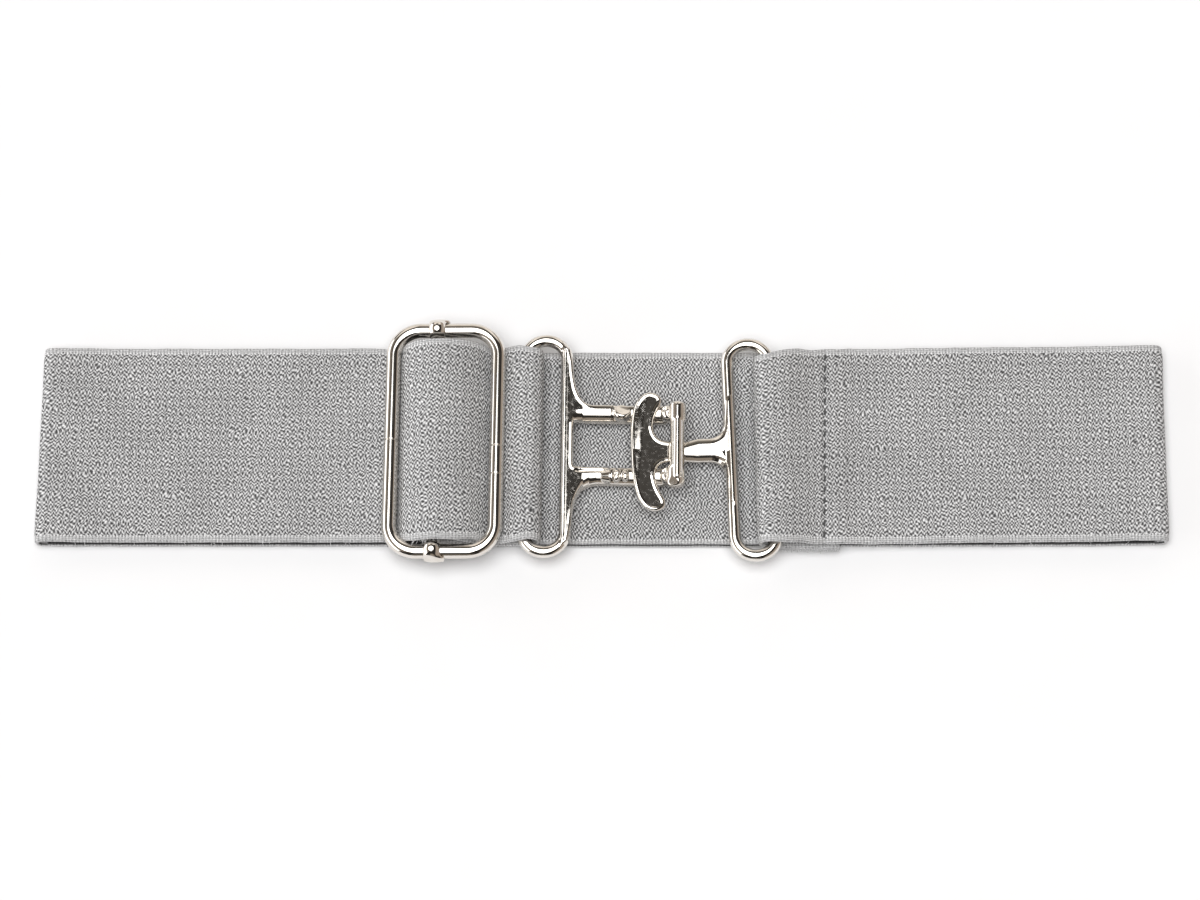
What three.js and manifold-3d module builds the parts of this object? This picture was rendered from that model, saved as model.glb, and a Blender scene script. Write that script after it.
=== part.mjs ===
// Elastic belt, lying flat with its clasp fastened. Sizes are in millimetres.
// X runs along the belt, Y across it, and Z up from the surface that it lies on.
// The origin is the middle of the underside.

import * as THREE from 'three';
import { mergeVertices } from 'three/addons/utils/BufferGeometryUtils.js';
import Module from 'manifold-3d';

// Driving dimensions

const WEBBING = {
  thickness: 1.6,
  edgeRound: 0.45,
  stepsPerTurn: 8,
};

// Heights of the middle of the webbing: on the surface, under the loops, on top.
const LAYER = { floor: 0.8, under: 2.6, top: 3.3, fold: 3.8 };

const SLIDE = {
  x: -38.35,
  y: -0.4,
  z: 6.85,
  turn: -0.7,
  tilt: 2.5,
  width: 29.0,
  height: 60.4,
  wire: 1.8,
  cornerRadius: 6.7,
};

const SLIDE_BAR = {
  x: -2.2,
  drop: 0.6,
  radius: 1.15,
  collarInside: 2.1,
  collarOutside: 2.9,
  collarWidth: 3.8,
  collarFrom: -150,
  collarTo: 140,
};

// Both clasp halves end in the same long loop, which the webbing is folded round.
const LOOP = { z: 5.2, width: 13.2, length: 57.4, wire: 1.5 };

const KEEPER = {
  x: -13.8,
  y: -0.93,
  turn: -0.7,
  armPitch: 16.0,
  armWidth: 3.4,
  armTip: 33.2,
  windowCorner: 0.8,
  rodX: 32.0,
  rodZ: 3.1,
};

// The cross rod, with a knob on its far end and an elbow under its near one
const CROSS_ROD = [
  { radius: 1.55, from: -9.0, to: 8.0, drop: 0 },
  { radius: 2.05, from: 5.0, to: 10.7, drop: 0 },
  { radius: 2.1, from: -11.4, to: -5.4, drop: 1.0 },
];

const HOOK = {
  x: 36.27,
  y: -1.85,
  turn: 1.9,
  plateY: -0.45,
  plateLow: 0.7,
  plateHigh: 2.9,
  neckEnd: -24.0,
  neckWidth: 4.1,
  rootWidth: 6.0,
};

// Heights of the blanks that the side profiles are cut from
const BLANK = { low: -3, high: 5 };

const WIRE_SIDES = 12;
const GAP = 0.3;

// Places that follow from them

const loopBar = LOOP.width / 2 - LOOP.wire;
const keeperBarX = KEEPER.x - loopBar;
const hookBarX = HOOK.x + loopBar;
const slideBarX = SLIDE.x + SLIDE_BAR.x;
const slideTilt = Math.tan(THREE.MathUtils.degToRad(SLIDE.tilt));
const slideBarZ = SLIDE.z + SLIDE_BAR.x * slideTilt - SLIDE_BAR.drop;
const slideWrap = SLIDE_BAR.radius + WEBBING.thickness / 2 + 1.5 * GAP;
const loopWrap = LOOP.z - LAYER.under;
const endFold = (LAYER.fold - LAYER.floor) / 2;

// The webbing's way, from its sewn end under the slide to its cut end under the right run.
// x and z are the middle of the thickness. A row with a radius is a turn about x, z, from one
// angle to the other, with 0 along +X and 90 along +Z. y is the middle across the belt, half
// is half the width, and skew is how far a fold leans along X for each millimetre of Y.
// A row keeps the last named y, half and skew.

const ROUTE = [
  { x: -31.5, z: LAYER.under, y: -0.4, half: 25.0, skew: 0.012 },
  { x: -34.0, z: 2.75 },
  { x: slideBarX, z: slideBarZ, radius: slideWrap, from: 270, to: 90 },
  { x: -36.5, z: 7.2 },
  { x: -34.0, z: 5.5 },
  { x: -31.5, z: 4.45 },
  { x: -29.3, z: 3.3 },
  { x: -27.3, z: 2.65 },
  { x: -25.4, z: LAYER.under, y: -0.8, half: 25.0 },
  { x: keeperBarX + 1.2, z: LOOP.z, radius: loopWrap, from: 270, to: 450, y: -1.0, half: 24.7, skew: 0.01 },
  { x: -20.4, z: 7.5, y: -1.0, half: 25.2 },
  { x: -22.6, z: 6.1, skew: 0 },
  { x: -24.2, z: 4.8, y: -0.7, half: 25.2 },
  { x: -25.9, z: 4.4, y: -0.6, half: 24.8 },
  { x: -27.6, z: 4.5, half: 24.3 },
  { x: -29.2, z: 5.6, half: 24.4 },
  { x: -30.9, z: 7.2 },
  { x: -32.8, z: 8.6, y: -1.1, half: 25.1 },
  { x: -35.0, z: 9.6, y: -1.3, half: 25.5 },
  { x: -37.7, z: 10.15 },
  { x: -41.2, z: 10.4 },
  { x: -44.2, z: 9.9 },
  { x: -46.2, z: 8.6, y: -1.0, half: 25.0 },
  { x: -47.2, z: 6.9, y: -0.6, half: 23.9 },
  { x: -47.7, z: 5.3, y: -0.5, half: 23.6 },
  { x: -48.7, z: 4.0, half: 24.0 },
  { x: -50.4, z: LAYER.top - 0.1, y: -0.3, half: 24.8 },
  { x: -54.0, z: LAYER.top, y: -0.1, half: 25.0 },
  { x: -120.0, z: LAYER.top },
  { x: -129.0, z: LAYER.fold - 0.1, skew: 0.01 },
  { x: -134.35, z: LAYER.floor + endFold, radius: endFold, from: 90, to: 270 },
  { x: -131.0, z: LAYER.floor, y: -0.2 },
  { x: -90.0, z: LAYER.floor, y: -0.28, half: 25.07, skew: 0 },
  { x: 90.0, z: LAYER.floor, y: -0.28 },
  { x: 131.0, z: LAYER.floor, y: -0.1, skew: 0.008 },
  { x: 134.7, z: LAYER.floor + endFold, radius: endFold, from: 270, to: 450, y: 0.45, half: 25.2 },
  { x: 129.0, z: LAYER.fold - 0.1 },
  { x: 120.0, z: LAYER.top, y: 0.3 },
  { x: 92.0, z: LAYER.top, y: 0.05, skew: 0 },
  { x: 64.0, z: LAYER.top, y: -0.4 },
  { x: 60.5, z: 3.6 },
  { x: 57.4, z: 4.3, y: -0.9, half: 25.1 },
  { x: 54.0, z: 4.45 },
  { x: 51.0, z: 4.8, y: -1.4, half: 24.9 },
  { x: 47.6, z: 6.1 },
  { x: 44.2, z: 7.45, y: -1.9, half: 24.6, skew: -0.008 },
  { x: hookBarX - 0.9, z: LOOP.z, radius: loopWrap, from: 90, to: 270, y: -2.2, half: 24.1, skew: -0.012 },
  { x: 47.0, z: LAYER.under, y: -2.0, half: 24.6, skew: 0 },
  { x: 56.5, z: LAYER.under, y: -1.9, half: 24.8, skew: -0.03 },
];

// Side profiles of the clasp's flat work, as x and z in a half's own frame

const ARM_PROFILE = [
  { x: 3.6, z: -1.1 },
  { x: 8.0, z: -1.5 },
  { x: 16.2, z: -1.5 },
  { x: 17.2, z: -1.8 },
  { x: 28.4, z: -1.8 },
  { x: 30.2, z: 0.4 },
  { x: 33.2, z: 0.4 },
  { x: 33.6, z: 3.2 },
  { x: 30.4, z: 3.2 },
  { x: 28.3, z: 0.4 },
  { x: 17.4, z: 0.4 },
  { x: 15.6, z: 1.4 },
  { x: 9.0, z: 1.4 },
  { x: 3.6, z: 0.9 },
];

const NECK_PROFILE = [
  { x: HOOK.neckEnd, z: HOOK.plateLow },
  { x: -22.9, z: HOOK.plateLow },
  { x: -20.6, z: -0.9 },
  { x: -4.4, z: -0.9 },
  { x: -4.4, z: 0.9 },
  { x: -10.0, z: 1.2 },
  { x: -19.6, z: 1.2 },
  { x: -22.4, z: HOOK.plateHigh },
  { x: HOOK.neckEnd, z: HOOK.plateHigh },
];

const RAMP_CUT = [
  { x: -22.4, z: HOOK.plateHigh },
  { x: -20.1, z: 1.5 },
  { x: -20.1, z: HOOK.plateHigh + 1 },
  { x: -22.4, z: HOOK.plateHigh + 1 },
];

// Half outlines of the flat work. across is the distance from the outline's middle line, which
// off shifts along Y. A row with a bend is a curve with its control point there, and the other
// rows are straight. The first row is the start, and the last one is on the middle line.

const armInside = (KEEPER.armPitch - KEEPER.armWidth) / 2;
const armOutside = armInside + KEEPER.armWidth;
const windowLeft = loopBar + LOOP.wire + 0.3;

const ARMS = [
  { x: loopBar, across: armOutside + 12.4 },
  { x: loopBar + 1.4, across: armOutside + 12.4 },
  { x: loopBar + 3.2, across: armOutside + 2.6, bend: [loopBar + 1.7, armOutside + 5.4] },
  { x: loopBar + 7.4, across: armOutside, bend: [loopBar + 4.6, armOutside] },
  { x: KEEPER.armTip, across: armOutside },
  { x: KEEPER.armTip, across: 0 },
];

const WINDOW = [
  { x: KEEPER.armTip + 1, across: armInside },
  { x: windowLeft + KEEPER.windowCorner, across: armInside },
  { x: windowLeft, across: armInside - KEEPER.windowCorner, bend: [windowLeft, armInside] },
  { x: windowLeft, across: 0 },
];

const CRESCENT = [
  { x: -20.8, across: HOOK.neckWidth / 2 },
  { x: -24.3, across: 6.1, bend: [-24.3, HOOK.neckWidth / 2] },
  { x: -22.6, across: 11.5, bend: [-24.1, 9.2] },
  { x: -23.2, across: 14.8, bend: [-21.2, 14.0] },
  { x: -28.0, across: 12.0, bend: [-26.0, 15.9] },
  { x: -29.3, across: 0, bend: [-29.3, 8.6] },
];

const NECK = [
  { x: -loopBar, across: HOOK.rootWidth / 2 + 5.0 },
  { x: -loopBar - 1.3, across: HOOK.rootWidth / 2 + 5.0 },
  { x: -loopBar - 4.6, across: HOOK.rootWidth / 2, bend: [-loopBar - 1.5, HOOK.rootWidth / 2 + 0.2] },
  { x: -loopBar - 8.0, across: HOOK.rootWidth / 2 },
  { x: -loopBar - 13.4, across: HOOK.neckWidth / 2, off: HOOK.plateY },
  { x: HOOK.neckEnd, across: HOOK.neckWidth / 2, off: HOOK.plateY },
  { x: HOOK.neckEnd, across: 0, off: HOOK.plateY },
];

// Materials

const nickel = { color: 0xcfc8bf, metalness: 1.0, roughness: 0.12 };
const wireNickel = { color: 0xd6cfc6, metalness: 1.0, roughness: 0.1 };
const elastic = { color: 0xa6a6a7, metalness: 0.0, roughness: 0.9 };

// Solids

const wasm = await Module();
wasm.setup();

const radians = (degrees) => THREE.MathUtils.degToRad(degrees);

function solidOf(geometry) {
  const bare = geometry.clone();
  bare.deleteAttribute('normal');
  bare.deleteAttribute('uv');
  const merged = mergeVertices(bare, 1e-3);
  return new wasm.Manifold(new wasm.Mesh({
    numProp: 3,
    vertProperties: merged.attributes.position.array,
    triVerts: new Uint32Array(merged.index.array),
  }));
}

function geometryOf(solid) {
  const mesh = solid.getMesh();
  const geometry = new THREE.BufferGeometry();
  geometry.setAttribute('position', new THREE.BufferAttribute(mesh.vertProperties, 3));
  geometry.setIndex(new THREE.BufferAttribute(mesh.triVerts, 1));
  const faceted = geometry.toNonIndexed();
  faceted.computeVertexNormals();
  return faceted;
}

function join(geometries) {
  return geometries.map(solidOf).reduce((sum, next) => sum.add(next));
}

// An outline in the XY plane made into a plate from z low to z high
function plate(outline, low, high, curveSegments) {
  const geometry = new THREE.ExtrudeGeometry(outline, {
    depth: high - low,
    bevelEnabled: false,
    curveSegments,
  });
  return geometry.translate(0, 0, low);
}

// A side profile made into a block across the belt, to cut a plate to its heights
function profileBlock(profile, reach) {
  const outline = new THREE.Shape(profile.map(({ x, z }) => new THREE.Vector2(x, z)));
  const geometry = new THREE.ExtrudeGeometry(outline, { depth: 2 * reach, bevelEnabled: false });
  return geometry.rotateX(Math.PI / 2).translate(0, reach, 0);
}

// A rod along Y with rounded ends
function rodAcross(radius, y0, y1, x, z) {
  const geometry = new THREE.CapsuleGeometry(radius, y1 - y0 - 2 * radius, 4, WIRE_SIDES);
  return geometry.translate(x, (y0 + y1) / 2, z);
}

// A closed outline that is alike on both sides of its middle line
function mirroredOutline(rows, middle = 0) {
  const outline = new THREE.Shape();
  const [start, ...rest] = rows;
  const addLeg = (from, to, side, bend) => {
    const y = middle + (to.off ?? 0) + side * to.across;
    if (bend) outline.quadraticCurveTo(bend[0], middle + side * bend[1], to.x, y);
    else outline.lineTo(to.x, y);
  };
  outline.moveTo(start.x, middle + start.across);
  rest.forEach((row, index) => addLeg(rows[index], row, 1, row.bend));
  [...rest].reverse().forEach((row, index) => {
    const next = rows[rows.length - 2 - index];
    addLeg(row, next, -1, row.bend);
  });
  outline.closePath();
  return outline;
}

// A closed wire along a flat outline
class FlatLoop extends THREE.Curve {
  constructor(outline) {
    super();
    this.outline = outline;
  }

  getPoint(t, target = new THREE.Vector3()) {
    const point = this.outline.getPoint(t);
    return target.set(point.x, point.y, 0);
  }
}

function roundedOutline(width, height, radius) {
  const x = width / 2 - radius;
  const y = height / 2 - radius;
  const outline = new THREE.Path();
  outline.moveTo(width / 2, -y);
  outline.lineTo(width / 2, y);
  outline.absarc(x, y, radius, 0, Math.PI / 2);
  outline.lineTo(-x, height / 2);
  outline.absarc(-x, y, radius, Math.PI / 2, Math.PI);
  outline.lineTo(-width / 2, -y);
  outline.absarc(-x, -y, radius, Math.PI, 1.5 * Math.PI);
  outline.lineTo(x, -height / 2);
  outline.absarc(x, -y, radius, 1.5 * Math.PI, 2 * Math.PI);
  return outline;
}

function wireLoop(width, height, cornerRadius, wire, steps) {
  const middle = roundedOutline(width - 2 * wire, height - 2 * wire, cornerRadius);
  return new THREE.TubeGeometry(new FlatLoop(middle), steps, wire, WIRE_SIDES, true);
}

// Webbing

function turnPoints(row) {
  const points = [];
  for (let step = 0; step <= WEBBING.stepsPerTurn; step += 1) {
    const angle = radians(THREE.MathUtils.lerp(row.from, row.to, step / WEBBING.stepsPerTurn));
    const x = row.x + row.radius * Math.cos(angle);
    const z = row.z + row.radius * Math.sin(angle);
    points.push({ ...row, x, z });
  }
  return points;
}

// Rows of the route, each with its y, half and skew, and the turns laid out as points
function routePoints() {
  let last = {};
  return ROUTE.flatMap((row) => {
    last = { y: last.y, half: last.half, skew: last.skew, ...row };
    return row.radius ? turnPoints(last) : [last];
  });
}

// Cross sections along the route: where each stands and which way it faces
function webbingStations() {
  const points = routePoints();
  const way = new THREE.CatmullRomCurve3(
    points.map(({ x, z }) => new THREE.Vector3(x, 0, z)),
    false,
    'centripetal',
  );
  const spans = points.length - 1;
  const stations = [];
  for (let step = 0; step <= 2 * spans; step += 1) {
    const first = Math.min(Math.floor(step / 2), spans - 1);
    const part = step / 2 - first;
    const blend = (name) => THREE.MathUtils.lerp(points[first][name], points[first + 1][name], part);
    const at = way.getPoint(step / (2 * spans));
    at.z = Math.max(at.z, LAYER.floor);
    stations.push({ at, y: blend('y'), half: blend('half'), skew: blend('skew') });
  }
  stations.forEach((station, index) => {
    const before = stations[Math.max(index - 1, 0)].at;
    const after = stations[Math.min(index + 1, stations.length - 1)].at;
    station.along = after.clone().sub(before).normalize();
  });
  return stations;
}

// The section's outline, as across and up, with its edges rounded off
function webbingSection(half) {
  const up = WEBBING.thickness / 2;
  const round = WEBBING.edgeRound;
  return [
    [half - round, -up],
    [half, round - up],
    [half, up - round],
    [half - round, up],
    [round - half, up],
    [-half, up - round],
    [-half, round - up],
    [round - half, -up],
  ];
}

function webbingGeometry() {
  const stations = webbingStations();
  const positions = [];
  stations.forEach(({ at, along, y, half, skew }) => {
    webbingSection(half).forEach(([across, up]) => {
      const x = at.x - along.z * up + skew * across;
      positions.push(x, y + across, at.z + along.x * up);
    });
  });
  const sides = webbingSection(1).length;
  const faces = [];
  for (let station = 0; station < stations.length - 1; station += 1) {
    for (let side = 0; side < sides; side += 1) {
      const a = station * sides + side;
      const b = station * sides + ((side + 1) % sides);
      faces.push(a, b, b + sides, a, b + sides, a + sides);
    }
  }
  const end = (stations.length - 1) * sides;
  for (let side = 1; side < sides - 1; side += 1) {
    faces.push(0, side + 1, side);
    faces.push(end, end + side, end + side + 1);
  }
  const geometry = new THREE.BufferGeometry();
  geometry.setAttribute('position', new THREE.Float32BufferAttribute(positions, 3));
  geometry.setIndex(faces);
  const faceted = geometry.toNonIndexed();
  faceted.computeVertexNormals();
  return faceted;
}

// Slide adjuster

function slideFrameGeometry() {
  return wireLoop(SLIDE.width, SLIDE.height, SLIDE.cornerRadius, SLIDE.wire, 84);
}

// An open collar round the frame's short side, in the YZ plane and drawn out along X
function collarGeometry() {
  const { collarInside, collarOutside, collarWidth, collarFrom, collarTo } = SLIDE_BAR;
  const outline = new THREE.Shape();
  outline.absarc(0, 0, collarOutside, radians(collarFrom), radians(collarTo), false);
  outline.absarc(0, 0, collarInside, radians(collarTo), radians(collarFrom), true);
  const geometry = new THREE.ExtrudeGeometry(outline, {
    depth: collarWidth,
    bevelEnabled: false,
    curveSegments: 9,
  });
  return geometry.translate(0, 0, -collarWidth / 2).rotateY(Math.PI / 2).rotateX(Math.PI / 2);
}

function slideBarGeometry() {
  const side = SLIDE.height / 2 - SLIDE.wire;
  const end = side - (SLIDE_BAR.collarInside + SLIDE_BAR.collarOutside) / 2;
  const bar = new THREE.CylinderGeometry(SLIDE_BAR.radius, SLIDE_BAR.radius, 2 * end, WIRE_SIDES);
  bar.translate(0, 0, -SLIDE_BAR.drop);
  const far = collarGeometry().translate(0, side, 0);
  const near = collarGeometry().rotateZ(Math.PI).translate(0, -side, 0);
  return geometryOf(join([bar, far, near])).translate(SLIDE_BAR.x, 0, 0);
}

// Clasp

function claspLoop() {
  return wireLoop(LOOP.width, LOOP.length, loopBar, LOOP.wire, 72);
}

function keeperGeometry() {
  const arms = solidOf(plate(mirroredOutline(ARMS), BLANK.low, BLANK.high, 5))
    .subtract(solidOf(plate(mirroredOutline(WINDOW), BLANK.low - 1, BLANK.high + 1, 3)))
    .intersect(solidOf(profileBlock(ARM_PROFILE, LOOP.length / 2)));
  const rods = join(CROSS_ROD.map(({ radius, from, to, drop }) => (
    rodAcross(radius, from, to, KEEPER.rodX, KEEPER.rodZ - drop)
  )));
  return geometryOf(solidOf(claspLoop()).add(arms).add(rods));
}

function hookGeometry() {
  const crescentOutline = mirroredOutline(CRESCENT, HOOK.plateY);
  const crescent = solidOf(plate(crescentOutline, HOOK.plateLow, HOOK.plateHigh, 6))
    .subtract(solidOf(profileBlock(RAMP_CUT, HOOK.neckWidth)));
  const neck = solidOf(plate(mirroredOutline(NECK), BLANK.low, BLANK.high, 5))
    .intersect(solidOf(profileBlock(NECK_PROFILE, LOOP.length / 2)));
  return geometryOf(solidOf(claspLoop()).add(crescent).add(neck));
}

// Assembly

function part(name, geometry, finish) {
  const mesh = new THREE.Mesh(geometry, new THREE.MeshStandardMaterial(finish));
  mesh.name = name;
  return mesh;
}

function placed(meshes, { x, y, z, turn, tilt = 0 }) {
  const group = new THREE.Group();
  group.add(...meshes);
  group.position.set(x, y, z);
  group.rotation.set(0, radians(-tilt), radians(turn), 'ZYX');
  return group;
}

const slide = placed([
  part('slide_frame', slideFrameGeometry(), wireNickel),
  part('slide_bar', slideBarGeometry(), wireNickel),
], SLIDE);
const keeper = placed([part('clasp_keeper', keeperGeometry(), nickel)], { ...KEEPER, z: LOOP.z });
const hook = placed([part('clasp_hook', hookGeometry(), nickel)], { ...HOOK, z: LOOP.z });

const belt = new THREE.Group();
belt.add(part('elastic_webbing', webbingGeometry(), elastic), slide, keeper, hook);

export default belt;
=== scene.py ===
"""Elastic belt, lying flat with its clasp fastened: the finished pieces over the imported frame.

Lengths in the tables are in millimetres and become metres where a mesh is made. X runs along the belt,
Y across it, and Z up from the surface that it lies on.
"""

import math
from types import SimpleNamespace as Values

import bmesh
import bpy
import numpy as np
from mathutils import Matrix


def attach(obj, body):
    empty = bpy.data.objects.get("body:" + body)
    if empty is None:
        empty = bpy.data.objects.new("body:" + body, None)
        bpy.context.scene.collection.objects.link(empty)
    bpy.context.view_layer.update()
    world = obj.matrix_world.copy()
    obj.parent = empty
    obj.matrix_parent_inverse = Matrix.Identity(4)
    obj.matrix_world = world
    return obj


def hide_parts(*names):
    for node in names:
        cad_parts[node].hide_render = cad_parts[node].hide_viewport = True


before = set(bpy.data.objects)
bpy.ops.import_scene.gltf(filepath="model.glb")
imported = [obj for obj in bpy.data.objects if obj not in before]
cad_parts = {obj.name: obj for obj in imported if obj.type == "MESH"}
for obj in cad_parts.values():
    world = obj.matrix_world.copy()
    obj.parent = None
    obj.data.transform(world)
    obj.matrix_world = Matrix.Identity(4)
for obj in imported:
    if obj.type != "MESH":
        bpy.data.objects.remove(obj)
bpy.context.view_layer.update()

scene = bpy.context.scene
MM = 0.001

# Webbing: one band, with its own thickness, edges and weave

WEBBING = Values(
    thickness=1.5, selvedge=1.65, selvedge_thickness=1.15, groove_depth=0.03, groove_width=0.3,
    flat_step=1.3, curve_step=0.42, columns=46,
)

# Heights of the middle of the webbing: on the surface, under the loops, on top and at the end folds
LOW, UNDER, TOP, FOLD = 0.8, 2.6, 3.3, 3.8

SLIDE = Values(
    x=-38.25, y=-0.12, z=6.85, turn=-0.7, tilt=2.5,
    width=29.2, height=60.4, wire=1.8, corner=6.7,
)
SLIDE_BAR = Values(
    x=-2.2, drop=0.6, radius=1.15,
    inside=1.95, outside=2.45, width=4.0, lip=1.1, dome=0.8,
    start=-140, end=128,
)
LOOP = Values(z=5.2, width=13.2, length=57.4, wire=1.5)
KEEPER = Values(
    x=-13.8, y=-0.93, z=LOOP.z, turn=-0.7, tilt=0.0,
    arm_pitch=16.0, arm_width=3.4, arm_tip=33.2, window_corner=0.8,
    rod_x=32.0, rod_z=3.1,
)
HOOK = Values(
    x=36.27, y=-1.85, z=LOOP.z, turn=1.9, tilt=0.0,
    plate_y=-0.45, plate_low=0.7, plate_high=2.9,
    neck_end=-24.0, neck_width=4.1, root_width=6.0,
)

LOOP_BAR = LOOP.width / 2 - LOOP.wire
KEEPER_BAR_X = KEEPER.x - LOOP_BAR
HOOK_BAR_X = HOOK.x + LOOP_BAR
SLIDE_BAR_X = SLIDE.x + SLIDE_BAR.x
SLIDE_BAR_Z = SLIDE.z + SLIDE_BAR.x * math.tan(math.radians(SLIDE.tilt)) - SLIDE_BAR.drop
SLIDE_WRAP = 2.4
LOOP_WRAP = LOOP.z - UNDER
END_FOLD = (FOLD - LOW) / 2

# The webbing's way, from its sewn end under the slide to its cut end under the right run: x and z of
# the middle of its thickness, y of the middle across the belt, half its width, and how far a fold
# leans along X for each millimetre of Y. A turn about x, z also has its radius and the angles that it
# starts and ends at, with 0 along +X and 90 along +Z.
ROUTE = [
    (-31.5, UNDER, -0.4, 25, 0.012),
    (-34, 2.75, -0.4, 25, 0.012),
    (SLIDE_BAR_X, SLIDE_BAR_Z, -0.4, 25, 0.012, SLIDE_WRAP, 270, 90),
    (-36.5, 7.2, -0.4, 25, 0.012),
    (-34, 5.5, -0.4, 25, 0.012),
    (-31.5, 4.45, -0.4, 25, 0.012),
    (-29.3, 3.3, -0.4, 25, 0.012),
    (-27.3, 2.65, -0.4, 25, 0.012),
    (-25.4, UNDER, -0.8, 25, 0.012),
    (KEEPER_BAR_X + 1.2, LOOP.z, -1, 24.7, 0.01, LOOP_WRAP, 270, 450),
    (-20.4, 7.5, -1, 25.2, 0.01),
    (-22.6, 6.1, -1, 25.2, 0),
    (-24.2, 4.8, -0.7, 25.2, 0),
    (-25.9, 4.4, -0.5, 24.9, 0),
    (-27.6, 4.6, -0.4, 24.9, 0),
    (-29.2, 6.1, -0.4, 25.3, 0),
    (-30.9, 7.6, -0.35, 25.45, 0),
    (-32.8, 8.8, -0.55, 25.6, 0),
    (-35, 9.7, -0.8, 25.75, 0),
    (-37.7, 10.2, -0.8, 25.75, 0),
    (-40.2, 10.3, -0.8, 25.75, 0),
    (-43, 9.85, -0.8, 25.75, 0),
    (-45.3, 8.85, -0.8, 25.75, 0),
    (-47, 7.5, -0.7, 25.4, 0),
    (-48, 6, -0.6, 24.9, 0),
    (-48.5, 4.8, -0.5, 24.4, 0),
    (-49.3, 3.8, -0.5, 24.4, 0),
    (-50.4, TOP - 0.1, -0.3, 24.8, 0),
    (-54, TOP, -0.1, 25, 0),
    (-120, TOP, -0.1, 25, 0),
    (-129, FOLD - 0.1, -0.1, 25, 0.01),
    (-134.35, LOW + END_FOLD, -0.1, 25, 0.01, END_FOLD, 90, 270),
    (-131, LOW, -0.2, 25, 0.01),
    (-120, LOW, -0.4, 24.8, 0),
    (-54, LOW, -0.4, 24.8, 0),
    (-44, LOW, -0.28, 25.07, 0),
    (56, LOW, -0.28, 25.07, 0),
    (66, LOW, -0.45, 24.9, 0),
    (120, LOW, -0.2, 24.9, 0),
    (131, LOW, 0.1, 25, 0.008),
    (134.7, LOW + END_FOLD, 0.45, 25.2, 0.008, END_FOLD, 270, 450),
    (129, FOLD - 0.1, 0.45, 25.2, 0.008),
    (120, TOP, 0.3, 25.2, 0.008),
    (92, TOP, 0.05, 25.2, 0),
    (64, TOP, -0.4, 25.2, 0),
    (60.5, 3.6, -0.4, 25.2, 0),
    (57.4, 4.3, -0.75, 25.1, 0),
    (54, 4.45, -0.75, 25.1, 0),
    (51, 4.8, -1.05, 25, 0),
    (47.6, 6.1, -1.05, 25, 0),
    (44.2, 7.45, -1.7, 24.75, -0.008),
    (HOOK_BAR_X - 0.9, LOOP.z, -2.2, 24.1, -0.012, LOOP_WRAP, 90, 270),
    (47, UNDER, -2, 24.6, 0),
    (56.5, UNDER, -1.9, 24.8, -0.03),
]
TURN_POINTS = 9

# Mesh helpers


def mesh_object(name, points, faces, material, smooth=True, normals=None):
    """An object at the origin, from points in millimetres."""
    mesh = bpy.data.meshes.new(name)
    points = np.asarray(points, float) * MM
    faces = np.asarray(faces, np.int32)
    sides = faces.shape[1]
    mesh.vertices.add(len(points))
    mesh.vertices.foreach_set("co", points.astype(np.float32).ravel())
    mesh.loops.add(faces.size)
    mesh.loops.foreach_set("vertex_index", faces.ravel())
    mesh.polygons.add(len(faces))
    mesh.polygons.foreach_set("loop_start", np.arange(0, faces.size, sides, dtype=np.int32))
    mesh.polygons.foreach_set("use_smooth", np.full(len(faces), smooth))
    mesh.update(calc_edges=True)
    mesh.validate()
    if normals is not None:
        mesh.normals_split_custom_set_from_vertices(normals.astype(np.float32))
    mesh.materials.append(material)
    obj = bpy.data.objects.new(name, mesh)
    scene.collection.objects.link(obj)
    return obj


def rings_to_faces(rings, sides, closed):
    """Quads between rings of points that follow one another."""
    ring, side = np.meshgrid(np.arange(rings - (not closed)), np.arange(sides), indexing="ij")
    after = (ring + 1) % rings
    beside = (side + 1) % sides
    quads = [ring * sides + side, ring * sides + beside, after * sides + beside, after * sides + side]
    return np.stack(quads, -1).reshape(-1, 4)


def turned(points, at):
    """Points or directions in a metal piece's own frame, tilted and turned as it lies."""
    turn, tilt = math.radians(at.turn), math.radians(at.tilt)
    x, y, up = points.T
    x, up = x * math.cos(tilt) - up * math.sin(tilt), x * math.sin(tilt) + up * math.cos(tilt)
    x, y = x * math.cos(turn) - y * math.sin(turn), x * math.sin(turn) + y * math.cos(turn)
    return np.stack([x, y, up], -1)


def placed(points, at):
    """Points of a metal piece in its own frame, moved to their place."""
    return turned(points, at) + (at.x, at.y, at.z)


# Shapes given by their distance field: negative inside, in millimetres, on arrays that broadcast


def ramp(past, length):
    """From 0 to 1 over a length."""
    return np.clip(past / length, 0, 1)


def joined(a, b, fillet):
    """Both shapes, with a fillet between them."""
    blend = np.clip(0.5 + 0.5 * (b - a) / fillet, 0, 1)
    return b + (a - b) * blend - fillet * blend * (1 - blend)


def shared(a, b, fillet):
    """What two shapes share, with its edges rounded where they meet."""
    return -joined(-a, -b, fillet)


def rounded_box(flat, over, edge):
    """Where a prism and a slab meet, with round edges: flat and over are the two distances."""
    out, above = flat + edge, over + edge
    corner = np.hypot(np.maximum(out, 0), np.maximum(above, 0))
    return corner + np.minimum(np.maximum(out, above), 0) - edge


def raised(flat, start, end, height):
    """A rim raised round a plate, which falls to the plate's top from start to end inside it."""
    share = ramp(flat + end, end - start)
    return height * share * share * (3 - 2 * share)


def between(value, low, high):
    """Distance out of the space from low to high."""
    return np.abs(value - (low + high) / 2) - (high - low) / 2


def plate(flat, z, low, high, edge):
    """A plate from its outline's distance and its heights, with round edges."""
    return rounded_box(flat, between(z, low, high), edge)


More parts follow.
